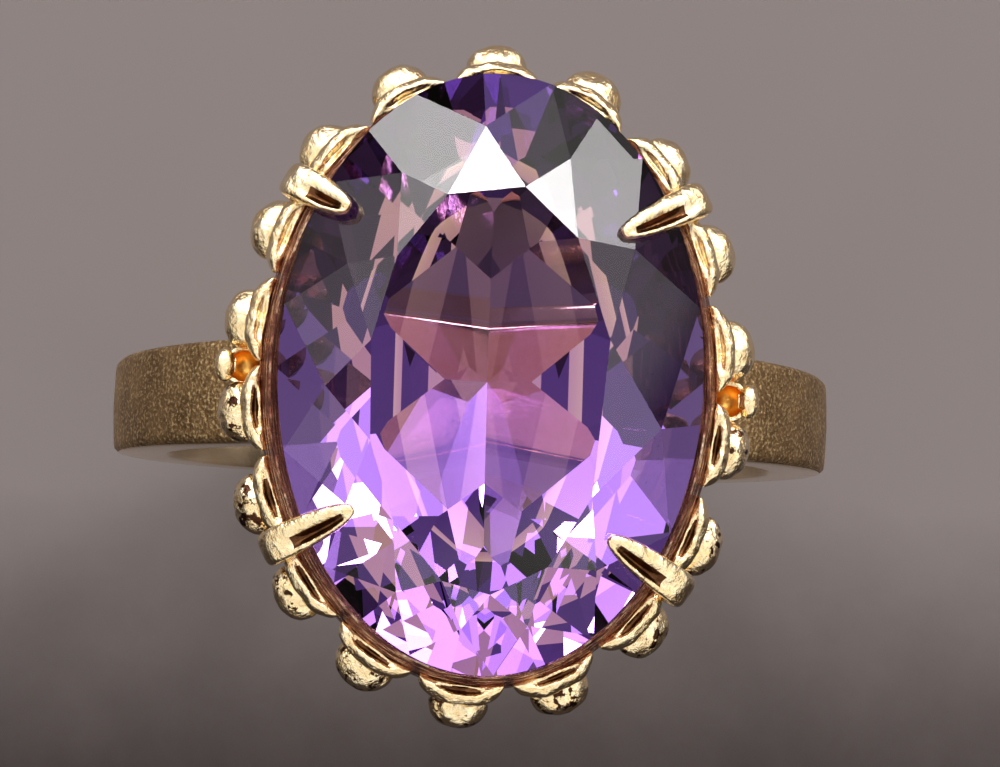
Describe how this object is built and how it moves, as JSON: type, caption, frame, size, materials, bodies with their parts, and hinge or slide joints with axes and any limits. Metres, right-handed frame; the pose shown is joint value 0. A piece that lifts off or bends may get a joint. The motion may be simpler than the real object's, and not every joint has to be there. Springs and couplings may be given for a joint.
{
  "type": "cocktail ring",
  "caption": "Cocktail ring: a large faceted oval violet stone held by pointed claws in a scalloped, beaded gold head on a plain flat band.",
  "frame": {"origin": "centre of the finger hole, in the middle of the band's width", "axes": "+Y along the finger and along the stone's length, +Z from the finger up through the stone, X across the finger"},
  "size_m": [0.0216, 0.0195, 0.0285],
  "materials": {
    "polished_gold": "polished",
    "rose_gold": "striated",
    "satin_gold": "stippled satin",
    "violet_quartz": "faceted, polished"
  },
  "bodies": {
    "root": {"amethyst": "violet_quartz", "collet": "rose_gold", "base_rail": "polished_gold", "shank": "satin_gold", "petal_01": "polished_gold", "petal_02": "polished_gold", "petal_03": "polished_gold", "petal_04": "polished_gold", "petal_05": "polished_gold", "petal_06": "polished_gold", "petal_07": "polished_gold", "petal_08": "polished_gold", "petal_09": "polished_gold", "petal_10": "polished_gold", "petal_11": "polished_gold", "petal_12": "polished_gold", "petal_13": "polished_gold", "petal_14": "polished_gold", "petal_15": "polished_gold", "petal_16": "polished_gold", "petal_17": "polished_gold", "petal_18": "polished_gold", "granule_01": "polished_gold", "granule_02": "polished_gold", "granule_03": "polished_gold", "granule_04": "polished_gold", "granule_05": "polished_gold", "granule_06": "polished_gold", "granule_07": "polished_gold", "granule_08": "polished_gold", "granule_09": "polished_gold", "granule_10": "polished_gold", "granule_11": "polished_gold", "granule_12": "polished_gold", "granule_13": "polished_gold", "granule_14": "polished_gold", "granule_15": "polished_gold", "granule_16": "polished_gold", "granule_17": "polished_gold", "granule_18": "polished_gold", "claw_back_left": "polished_gold", "claw_back_right": "polished_gold", "claw_front_left": "polished_gold", "claw_front_right": "polished_gold", "shoulder_post_left": "satin_gold", "shoulder_cup_left": "polished_gold", "shoulder_bead_left": "polished_gold", "shoulder_post_right": "satin_gold", "shoulder_cup_right": "polished_gold", "shoulder_bead_right": "polished_gold"}
  },
  "joints": []
}
